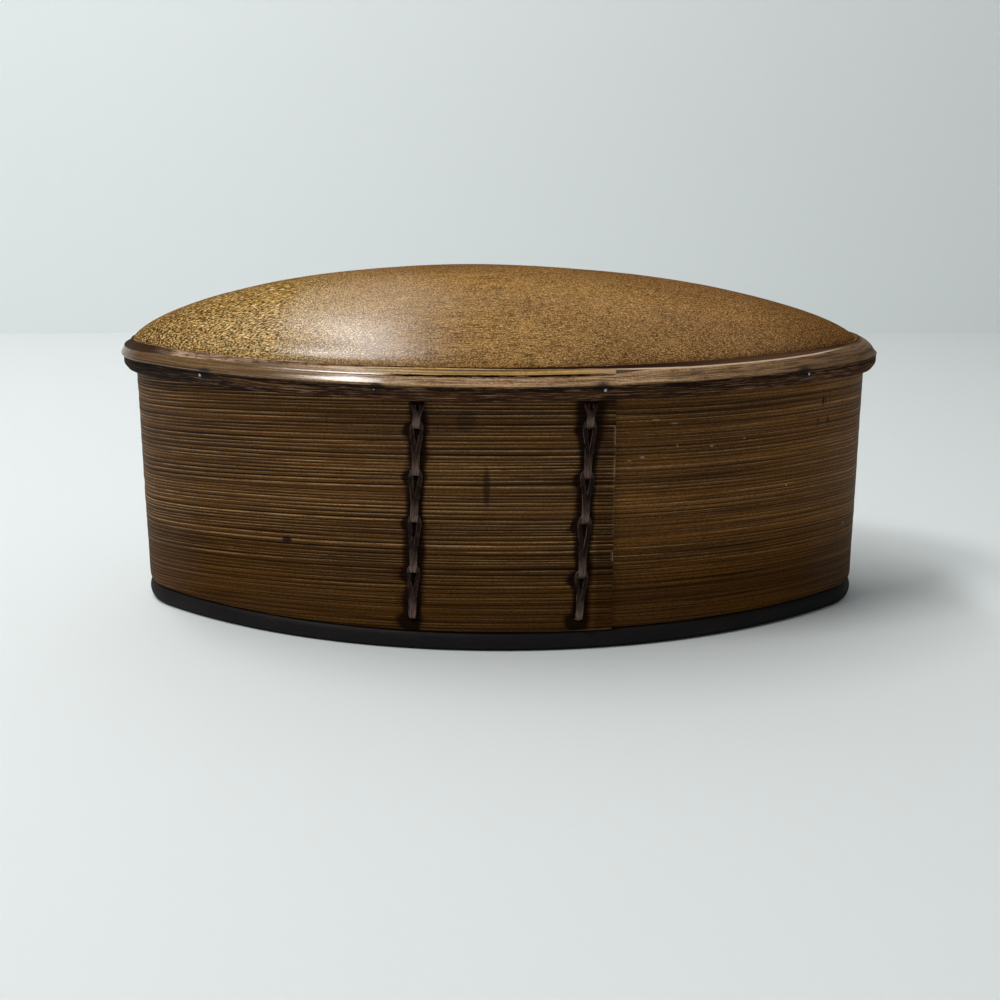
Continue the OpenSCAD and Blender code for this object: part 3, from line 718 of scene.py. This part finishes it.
for t, dip in zip(groove_t, groove_dip):
    flat_row(groove_off - groove_w * t, rim_top - (dip + t * groove_d / 3), GROOVE, groove_shift)
for a in np.radians(np.linspace(0, 89.2, 62)):
    dome_row(dome_off, dome_foot, crown_z, groove_shift, a, DOME)
rows = []
for off, z, share, shift, part in profile:
    x, y = oval(lid_u, off)
    rows.append(np.stack([x * share - shift, y * share, np.full_like(x, z)], -1))
rows = np.array(rows)

# X, Y and Z look into the rows, so that a change to one of them moves the points.
X, Y, Z = rows[..., 0], rows[..., 1], rows[..., 2]
parts = np.array([row[4] for row in profile])[:, None] * np.ones(len(lid_u))
profile_steps = np.hypot(*np.diff([(row[0], row[1]) for row in profile], axis=0).T)
profile_length = np.r_[0, np.cumsum(profile_steps)]
last_of_rim = np.nonzero(parts[:, 0] == RIM)[0][-1]
below_groove = np.clip(profile_length[last_of_rim] - profile_length, -12, 12)[:, None] * np.ones(len(lid_u))

# The groove was cut by hand: along the front it wanders down over the rim and, towards both
# ends, widens into a cove. For places along the box, the course says how far down the rim,
# from the plain groove's lower edge, the cut's lower lip and its upper edge lie.
groove_course = (
    (-122, 3.6, -1.6), (-116, 3.7, -1.4), (-105, 3.3, -0.7), (-95, 3.0, 0.0), (-72, 2.4, 0.5),
    (-48, 1.2, 0.1), (-30, 0.55, -0.4), (-18, 0.45, -0.45), (27, 1.3, 0.1), (57, 2.2, 0.0),
    (84, 2.2, -1.0), (98, 1.9, -0.9), (106, 1.3, -0.4), (113, 0.6, -0.1), (122, 0.3, -0.3),
)
plain_top, cut_depth = -0.9, 0.62
course_x, course_lip, course_top = zip(*groove_course)
at_front = ease(-Y, -30, -4)
cut_lip = at_front * np.interp(X, course_x, course_lip)
cut_top = at_front * (np.interp(X, course_x, course_top) - plain_top) + plain_top
cut_w = cut_lip - cut_top
in_cut = np.clip((below_groove - cut_top) / np.maximum(cut_w, 0.3), 0, 1)
carve = at_front * cut_depth * ease(in_cut, 0, 0.55) * (1 - ease(in_cut, 0.80, 1.0))
carve = carve * np.clip(cut_w / 1.2, 0.6, 1.2) * (parts >= RIM)
plain_dip = np.zeros(len(profile))
plain_dip[parts[:, 0] == GROOVE] = groove_dip
Z += at_front * plain_dip[:, None]

# The dome and the hollow keep the dips of the gouge. The rim's front is flattened, its right
# end is rounder, and along its split the wood below stands back a little.
gouged = np.where(parts == DOME, 0.16 * (hills(40, X, Y, 34, 15) - 1) + 0.04 * hills(41, X, Y, 9, 4), 0)
gouged = gouged - 0.8 * carve
gouged = gouged + np.where(parts == HOLLOW, 0.35 * hills(42, X, Y, 16, 7) - 0.2, 0)
around = np.arctan2(Y, X) * 100
uneven_rim = 0.05 * (hills(43, around, below_groove, 24, 5) + 1)
flattened = at_front * 0.20 * np.clip(1 - ((below_groove - 5.15) / 1.45) ** 2, 0, 1)
rounder = ease(X, 100, 116) * 0.5 * ease(below_groove, 4.5, 6.6)
split = np.where(Y < 0, ease(X, -34, -28) * (1 - ease(X, 30, 34)), 0)
stands_back = 0.16 * split * ease(below_groove, 3.3, 3.9) * (1 - ease(below_groove, 6.0, 7.4))
inward = np.where(parts == RIM, uneven_rim + flattened + rounder + stands_back, 0) + 0.45 * carve
nail_stain = np.zeros_like(X)
stain_edge = 2.0 + 0.6 * hills(46, X, Z, 2, 1)
for x0 in nail_x:
    nail_stain = add_mark(nail_stain, np.hypot((X - x0) / 1.6, Z - rim_foot), 0.6, stain_edge)
outward_x, outward_y = np.subtract(oval(lid_u, 1.0), oval(lid_u, 0.0))
X -= inward * outward_x
Y -= inward * outward_y
Z += np.where(parts == HOLLOW, np.clip(gouged, -0.6, 0.2), np.clip(gouged, -0.8, 0))
lid_board = skin(
    "carved_lid_board",
    rows,
    {"part": parts, "from_groove": below_groove, "lip": cut_lip, "top": cut_top, "stain": nail_stain},
    crease=40,
)

# The dome's finish: polished, and full of short open pores that follow the grain. The
# colours are laid over each other from the whole dome down to its smallest marks.
honey, amber = (0.400, 0.215, 0.058), (0.290, 0.142, 0.034)
golden, russet = (0.400, 0.245, 0.052), (0.250, 0.106, 0.029)
right_end_shade_brown, left_brown, back_shade_brown = (0.095, 0.032, 0.006), (0.100, 0.052, 0.013), (0.130, 0.054, 0.012)
pale_fleck, gold_fleck = (0.760, 0.480, 0.215), (0.820, 0.560, 0.230)
long_pore_brown, pore_brown = (0.110, 0.050, 0.014), (0.034, 0.014, 0.003)
dash_brown, dent_brown = (0.040, 0.017, 0.005), (0.035, 0.02, 0.01)
dent_at, dent_size = (-45, -29, 102), (1.8, 3.0, 3)
grain_tilt = 4
tan = Finish("polished_tan_hardwood", Specular_IOR_Level=0.65)
lid_place = tan.place()
grain = tan.place(turn=(0, grain_tilt, 0))
part = tan.field("part")
below = tan.field("from_groove")
lip = tan.field("lip")
top = tan.field("top")
along, across, height = (tan.axis(lid_place, number) for number in range(3))
long_pores = tan.noise(grain, (12, 0.5, 0.4), 2, 0.6)
figure = tan.noise(grain, (60, 6, 5), 3)
cloud = tan.noise(grain, (36, 20, 12), 2)
dashes = tan.noise(grain, (4.2, 0.38, 0.32), 1)
grit = tan.noise(lid_place, (0.8, 0.8, 0.36), 2, 0.6)
to_left = along.ramp(-30, -75) * across.ramp(25, -15, 0.4, 1.0)
long_grain = along.ramp(-60, -72) * across.ramp(15, -5)


def long_or_short(long_sizes, short_sizes):
    """Grains that are long at the front left, where the wood is coarse, and short elsewhere."""
    long_part = tan.noise(grain, long_sizes, 1) * long_grain
    return long_part + tan.noise(grain, short_sizes, 1) * (1 - long_grain)


pores = long_or_short((1.50, 0.34, 0.28), (0.50, 0.28, 0.24)).ramp(0.47, 0.55)
flecks = long_or_short((1.90, 0.40, 0.34), (0.62, 0.30, 0.26)).ramp(0.50, 0.58)
# Painted shade: the dome grows darker towards its back and its right end, and its pale flecks fade there
# too.
lit = across.ramp(-30, 6, 1.0, 0.62) * along.ramp(72, 112, 1.0, 0.60)
dome = tan.coats(
    tan.mix(figure.ramp(0.35, 0.68), honey, amber),
    (to_left * 0.75, golden),
    (along.ramp(10, 70) * 0.60, russet),
    (along.ramp(66, 116) * 0.85, right_end_shade_brown),
    (along.ramp(-82, -118) * 0.90, left_brown),
    (across.ramp(-32, 8) * 0.90, back_shade_brown),
    (flecks * (0.54 + 0.41 * to_left) * lit, tan.mix(to_left, pale_fleck, gold_fleck)),
    (long_pores.ramp(0.52, 0.66) * 0.40, long_pore_brown),
    (pores * (0.64 + 0.32 * to_left), pore_brown),
    (dashes.ramp(0.55, 0.63) * along.ramp(-50, 0) * 0.70, dash_brown),
)
dome = tan.shade(dome, 0.80 + 0.40 * cloud)
dome = tan.mix(tan.spot(lid_place, dent_at, dent_size) * 0.75, dome, dent_brown)

# The rim's finish: wood in thin layers, rubbed pale in the middle and darker at both ends.
rim_tan, rim_brown, rubbed_tan = (0.480, 0.285, 0.115), (0.190, 0.094, 0.034), (0.400, 0.255, 0.150)
grit_brown, grit_tan = (0.110, 0.056, 0.028), (0.640, 0.470, 0.320)
layer_tan, layer_brown = (0.560, 0.400, 0.250), (0.050, 0.024, 0.012)
left_tip, left_side = (0.050, 0.028, 0.013), (0.090, 0.046, 0.016)
right_tip, right_side = (0.062, 0.036, 0.018), (0.150, 0.078, 0.032)
seam_brown, ragged_brown = (0.040, 0.019, 0.009), (0.050, 0.024, 0.014)
layers = tan.noise(lid_place, (70, 50, 0.40), 2, 0.55)
fine_layers = tan.noise(lid_place, (26, 20, 0.16), 1)
light_layers = tan.noise(lid_place, (11, 9, 0.20), 1)
rubbing = tan.noise(lid_place, (8, 6, 1.0), 3, 0.6)
rough = tan.noise(lid_place, (2.0, 2.0, 0.6), 2, 0.6) - 0.5
ragged = tan.noise(lid_place, (9, 9, 0.5), 2, 0.6)
rim = tan.coats(
    tan.mix(layers.ramp(0.44, 0.58), rim_tan, rim_brown),
    (rubbing.ramp(0.46, 0.62) * along.ramp(-70, -30, 0.2, 0.75), rubbed_tan),
    (grit.ramp(0.50, 0.64) * 0.5, grit_brown),
    (grit.ramp(0.46, 0.34) * 0.35, grit_tan),
    (light_layers.ramp(0.56, 0.68) * 0.7, layer_tan),
    (fine_layers.ramp(0.52, 0.62) * 0.85, layer_brown),
    (along.ramp(74, 112) * 0.72, right_tip),
    (along.ramp(-94, -118) * 0.60, left_tip),
    (along.ramp(-40, -80) * 0.72, left_side),
    (along.ramp(36, 90) * 0.60, right_side),
    (layers.ramp(0.56, 0.66) * abs(along).ramp(44, 70) * 0.8, seam_brown),
    (ragged.ramp(0.50, 0.62) * along.ramp(30, 60) * 0.7, ragged_brown),
)

# What crosses the rim: a yellow strip of wood under the cut's lip, below it a long crack that
# starts as a hair at the left, a dark wedge past its end, and a painted highlight on the right lip.
strip_yellow, strip_brown, strip_grit = (0.430, 0.270, 0.075), (0.180, 0.095, 0.024), (0.160, 0.086, 0.026)
strip_end, strip_shade, wedge_brown = (0.360, 0.215, 0.110), (0.050, 0.024, 0.010), (0.045, 0.026, 0.022)
hair_brown, crack_brown = (0.030, 0.015, 0.010), (0.012, 0.004, 0.002)
lip_highlight_tan, rim_foot_shadow_black = (0.600, 0.440, 0.310), (0.020, 0.012, 0.009)
on_front = across.ramp(-20, -30)
below_lip = below - lip
ragged_below = below + ragged * 0.6
in_strip = on_front * along.ramp(-42, -38) * (along + below * 2.6).ramp(41.5, 39.5)
yellow_strip = in_strip * below_lip.ramp(0.05, 0.2) * ragged_below.ramp(3.85, 3.65)
yellow = tan.coats(
    tan.mix(layers.ramp(0.5, 0.62), strip_yellow, strip_brown),
    (grit.ramp(0.46, 0.60) * 0.5, strip_grit),
    (along.ramp(22, 33), strip_end),
    ((below_lip - 0.85).close(0.12, 0.3) * along.ramp(20, 0), strip_shade),
)
below_crack = below + (ragged - 0.5) * 0.8 - along.ramp(-70, -25, 3.0, 3.75)
wedge_x = 33.5
crack_end = on_front * along.ramp(34, 33)
hair = below_crack.close(0.06, 0.18) * crack_end * along.ramp(-88, -74)
crack = below_crack.close(0.30, 0.48) * crack_end * along.ramp(-33, -29) * ragged.ramp(0.38, 0.44, 0.2, 1)
under_lip = (below + along * 0.10).ramp(7.1, 6.8) * below_lip.ramp(0.45, 0.6)
wedge = along.ramp(wedge_x, wedge_x + 0.5) * under_lip * on_front
lip_highlight = (below_lip - 0.38).close(0.16, 0.36) * on_front
rim = tan.coats(
    rim,
    (yellow_strip * 0.85, yellow),
    (hair * 0.75, hair_brown),
    (crack, crack_brown),
    (wedge * 0.9, wedge_brown),
    (lip_highlight * along.ramp(30, 42) * 0.85, lip_highlight_tan),
    # Painted shadow along the rim's foot, just over the hoop.
    ((height + ragged * 0.9).ramp(83.7, 83.25) * 0.9, rim_foot_shadow_black),
)

# The cut's own finish: bare wood on the left, painted shade in the groove elsewhere, and darker
# painted shade along both edges.
bare_brown, bare_tan, bare_grit = (0.300, 0.180, 0.110), (0.520, 0.360, 0.230), (0.070, 0.035, 0.025)
cut_shade_black, cut_shade_brown = (0.036, 0.018, 0.010), (0.082, 0.040, 0.020)
lip_shade_line, top_shade_line = (0.022, 0.010, 0.006), (0.040, 0.020, 0.014)
rust_black, under_tan, under_brown = (0.014, 0.010, 0.009), (0.200, 0.120, 0.056), (0.120, 0.064, 0.028)
rough_below = below + rough * 0.5
bare = along.ramp(-110, -98) * along.ramp(-26, -44) * across.ramp(-5, -20)
bare_cut = tan.mix(light_layers.ramp(0.45, 0.6), bare_brown, bare_tan)
bare_cut = tan.mix((0.62 + rough).ramp(0.62, 0.80) * 0.8, bare_cut, bare_grit)
cut = tan.coats(
    tan.mix(along.ramp(35, 75), cut_shade_black, cut_shade_brown),
    (bare * ragged.ramp(0.40, 0.60, 0.35, 0.95), bare_cut),
    ((rough_below - lip).close(0.10, 0.32) * 0.9, lip_shade_line),
    ((rough_below - top).close(0.10, 0.25) * 0.7, top_shade_line),
)

# The whole lid: dome, cut and rim side by side, stained round the nails, and plain wood below.
on_dome = (rough_below - top).ramp(0.12, -0.12)
past_cut = (rough_below - lip).ramp(-0.12, 0.12)
on_rim = part.ramp(1.4, 1.6) * part.ramp(2.9, 2.4) * past_cut
tone = tan.coats(
    tan.mix(past_cut, cut, rim),
    (on_dome, dome),
    (tan.field("stain") * 0.9, rust_black),
    (part.ramp(1.1, 1.3, 1, 0), tan.mix(long_pores.ramp(0.3, 0.7), under_tan, under_brown)),
)
gloss = on_rim * ragged_below.ramp(3.3, 3.9) * along.ramp(-36, -32, 1, 0) * across.ramp(10, -10)
tan.paint(Base_Color=tone, Roughness=0.25 + 0.08 * cloud - 0.13 * gloss)
tan.bump(0.03 - pores * on_dome * 0.02 - layers.ramp(0.44, 0.60) * on_rim * 0.006 - crack * 0.10)
dull = across.ramp(-38, -4, 0.0, 0.88) + along.ramp(-60, -72, 0, 0.45) + along.ramp(-36, -2, 0, 0.70)
off_dome = 0.95 - 0.20 * on_rim - 0.70 * gloss + 0.25 * crack
dull = (dull + pores * 0.36) * on_dome + (1 - on_dome) * off_dome
tan.rub_off(dull + (cloud - 0.5) * 0.3)
tan.on(lid_board)
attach(lid_board, "lid")
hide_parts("lid_board")

# Lid hoop: a dark strip bent round under the lid's rim, bevelled along its lower edge,
# with its slanted ends meeting at the back. It reaches down past the top of the band.
hoop_bevel, hoop_bevel_w, hoop_round, scarf, scarf_gap = 2.6, 1.4, 0.25, 30.0, 0.1
hoop_u = np.linspace(0, girth, 380) + girth / 2
edge = []
for t in np.linspace(0, 1, 4):
    edge.append((lid_fit + t * (hoop_top_off - hoop_bevel_w - lid_fit), hoop_foot))
for t in np.linspace(0, 1, 13)[1:]:
    off = hoop_top_off - hoop_bevel_w * (1 - math.sin(t * math.pi / 2) ** 1.2)
    edge.append((off, hoop_foot + hoop_bevel * t))
for t in np.linspace(0, 1, 9)[1:]:
    edge.append((hoop_top_off, hoop_foot + hoop_bevel + (hoop_h - hoop_bevel) * t))
edge.append((hoop_top_off - hoop_round, rim_foot))
edge.append((lid_fit, rim_foot))
edge = np.array(edge)
strip_u = hoop_u[:, None] * np.ones(len(edge))
off, Z = (column * np.ones_like(strip_u) for column in edge.T)
outer = (off > lid_fit + 0.4) & (Z < rim_foot - 0.01)
ragged_edge = 0.10 * (hills(50, strip_u, 0 * strip_u, 6, 1) + 1)
ragged_edge += 0.06 * (hills(51, strip_u, 0 * strip_u, 1.8, 1) + 1)
fine_lines = hills(52, strip_u, Z, 30, 0.42)
off = off - np.where(outer, 0.10 + 0.09 * fine_lines, 0)
Z = Z + np.where(Z < hoop_foot + 0.3, ragged_edge, 0)
slant = scarf * (np.clip((off - lid_fit) / (hoop_top_off - lid_fit), 0, 1) - 0.5)
bent_len = (girth - scarf_gap) / (hoop_u[-1] - hoop_u[0])
U = hoop_u[0] + scarf_gap / 2 + (strip_u - hoop_u[0]) * bent_len + slant
x, y = oval(np.mod(U, girth), off)
nail_stain = np.zeros_like(x)
stain_edge = 2.6 + hills(53, x, Z, 2, 1)
for x0 in nail_x:
    nail_stain = add_mark(nail_stain, np.hypot((x - x0) / 1.5, Z - rim_foot + 0.8), 0.8, stain_edge)
lid_hoop = skin(
    "bent_lid_hoop",
    np.stack([x, y, Z], -1),
    {"grain": np.stack([strip_u, Z, off], -1), "line": fine_lines, "stain": nail_stain},
    crease=45,
)

hoop_brown, hoop_tan = (0.026, 0.010, 0.004), (0.086, 0.034, 0.012)
patch_brown, glint_tan = (0.130, 0.056, 0.022), (0.330, 0.190, 0.105)
thread_black, left_black, nail_black = (0.006, 0.003, 0.003), (0.010, 0.008, 0.008), (0.008, 0.006, 0.006)
dark = Finish("blackish_brown_hoop_wood")
grain = dark.field_place("grain")
thread = dark.noise(grain, (14, 0.22, 0.8), 3, 0.65)
glint = dark.noise(grain, (7, 0.25, 0.8), 2, 0.6)
patch = dark.noise(grain, (22, 2.5, 4), 3)
tone = dark.coats(
    dark.mix(dark.field("line").ramp(-0.3, 0.5), hoop_brown, hoop_tan),
    (patch.ramp(0.48, 0.70) * 0.6, patch_brown),
    (glint.ramp(0.53, 0.62) * 0.8, glint_tan),
    (thread.ramp(0.48, 0.58) * 0.94, thread_black),
    (dark.axis(dark.place(), 0).ramp(-60, -112) * 0.75, left_black),
    (dark.field("stain") * 0.8, nail_black),
)
dark.paint(Base_Color=tone, Roughness=0.34 + 0.22 * patch)
dark.bump(thread * 0.10)
dark.rub_off(0.80 + 0.2 * patch)
dark.on(lid_hoop)
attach(lid_hoop, "lid")
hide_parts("lid_hoop")

# Nails: small iron nails with domed heads, driven through the hoop into the lid along
# the line under its rim, four at the front and four at the back.
nail_d, nail_t, nail_sink = 1.9, 0.6, 0.05
nail_z = rim_foot - nail_d / 2 - slack
nail_profile = ((0.45, -5.0), (0.45, -0.2), (0.93, -0.15), (0.95, 0.05), (0.90, 0.22), (0.74, 0.40),
                (0.5, 0.52), (0.22, 0.59), (0.05, 0.60))
ring = 20
ring_turns = np.linspace(0, 2 * np.pi, ring, endpoint=False)
nail_seeds = 60


def nail_points(number, x0, facing):
    """Rings of points from a lumpy nail's tip to the top of its head. The front's facing is 1,
    and the back's is -1."""
    a = math.asin(x0 / side_r)
    centre = np.array([side_r * math.sin(a), facing * (side_y - side_r * math.cos(a)), nail_z])
    outward = np.array([math.sin(a), -facing * math.cos(a), 0.0])
    sideways = np.array([math.cos(a), facing * math.sin(a), 0.0])
    points = []
    for r, h in nail_profile:
        bumps = hills(nail_seeds + number, 2 * np.cos(ring_turns), 2 * np.sin(ring_turns) + h * 3, 1, 1)
        lump = 1 + 0.10 * bumps
        middle = centre + outward * (hoop_top_off - nail_t - nail_sink + h)
        over, up = r * lump * np.cos(ring_turns), r * lump * np.sin(ring_turns)
        points.append(middle + over[:, None] * sideways + up[:, None] * np.array([0, 0, 1.0]))
    return np.concatenate(points)


def nail_faces(start):
    faces = []
    for i in range(len(nail_profile) - 1):
        low = start + i * ring
        for j in range(ring):
            k = (j + 1) % ring
            faces.append([low + j, low + k, low + ring + k, low + ring + j])
    faces.append([start + ring - 1 - j for j in range(ring)])
    faces.append([start + (len(nail_profile) - 1) * ring + j for j in range(ring)])
    return faces


points, faces = [], []
for number, (facing, x0) in enumerate((facing, x0) for facing in (1, -1) for x0 in nail_x):
    faces += nail_faces(len(points))
    points += (nail_points(number, x0, facing) * MM).tolist()
nail_mesh = bpy.data.meshes.new("lid_nails_domed")
nail_mesh.from_pydata(points, [], faces)
round_off(nail_mesh, 50)
lid_nails = put("domed_lid_nails", nail_mesh)
iron_grey, rust_brown = (0.620, 0.600, 0.530), (0.050, 0.030, 0.020)
iron = Finish("tarnished_iron", Metallic=0.2)
rust = iron.noise(iron.place(), (0.5, 0.5, 0.5), 3, 0.6)
iron.paint(Base_Color=iron.mix(rust.ramp(0.50, 0.64), iron_grey, rust_brown), Roughness=0.28 + 0.30 * rust)
iron.on(lid_nails)
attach(lid_nails, "lid")
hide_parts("lid_nails")

# Table and wall: a plain pale table top that ends at a plain wall behind the box. Both are
# painted sheets, in metres.
table_half, table_near, wall_y, wall_low, wall_high = 4, -3, 0.56, -1, 3
table_grey, wall_white, paint_rough = (0.625, 0.655, 0.65), (0.87, 0.91, 0.91), 0.8


def plane(name, corners, colour):
    mesh = bpy.data.meshes.new(name)
    mesh.from_pydata(corners, [], [[0, 1, 2, 3]])
    made = put(name, mesh)
    Finish(name + "_paint", Base_Color=colour, Roughness=paint_rough).on(made)


plane("table_top", [(-table_half, table_near, 0), (table_half, table_near, 0),
                    (table_half, wall_y, 0), (-table_half, wall_y, 0)], table_grey)
plane("wall", [(-table_half, wall_y, wall_low), (table_half, wall_y, wall_low),
               (table_half, wall_y, wall_high), (-table_half, wall_y, wall_high)], wall_white)


# Light: a large soft lamp above on the right, a narrow one above on the left, a window in
# front on the left, and the even light of a pale room all round.
def lamp(name, place, towards, size, power):
    light = bpy.data.lights.new(name, "AREA")
    light.shape = "RECTANGLE"
    light.size, light.size_y = size
    light.energy = power
    made = put(name, light)
    made.location = place
    made.rotation_euler = (Vector(towards) - Vector(place)).to_track_quat("-Z", "Y").to_euler()


lamp("ceiling", place=(0.9, -0.1, 1.9), towards=(0.6, 0.1, 0), size=(2.6, 2.0), power=6.4)
lamp("ceiling_lamp", place=(-0.45, 0.05, 1.3), towards=(-0.45, 0.05, 0), size=(0.20, 1.0), power=10.5)
lamp("window", place=(-0.667, -0.401, 1.177), towards=(-0.048, -0.055, 0.088), size=(0.44, 0.26), power=8.2)
room_white, room_light = (0.95, 0.98, 1.0), 0.12
world = bpy.data.worlds.new("pale_room")
bpy.context.scene.world = world
world.use_nodes = True
background = world.node_tree.nodes["Background"]
background.inputs["Color"].default_value = (*room_white, 1.0)
background.inputs["Strength"].default_value = room_light

# Camera: straight in front of the box, a little above the lid and looking down on it. Its
# lens takes in the whole box, with room on both sides.
eye_y, eye_z, look_down = -0.4757, 0.1635, 0.271
camera = bpy.data.cameras.new("camera")
camera.sensor_width, camera.lens = 36.0, 52.2
camera.clip_start, camera.clip_end = 0.01, 20.0
eye = put("camera", camera)
eye.location = (0.0, eye_y, eye_z)
eye.rotation_euler = (math.pi / 2 - look_down, 0.0, 0.0)
bpy.context.scene.camera = eye
bpy.context.scene.view_settings.view_transform = "Standard"

bpy.context.view_layer.update()
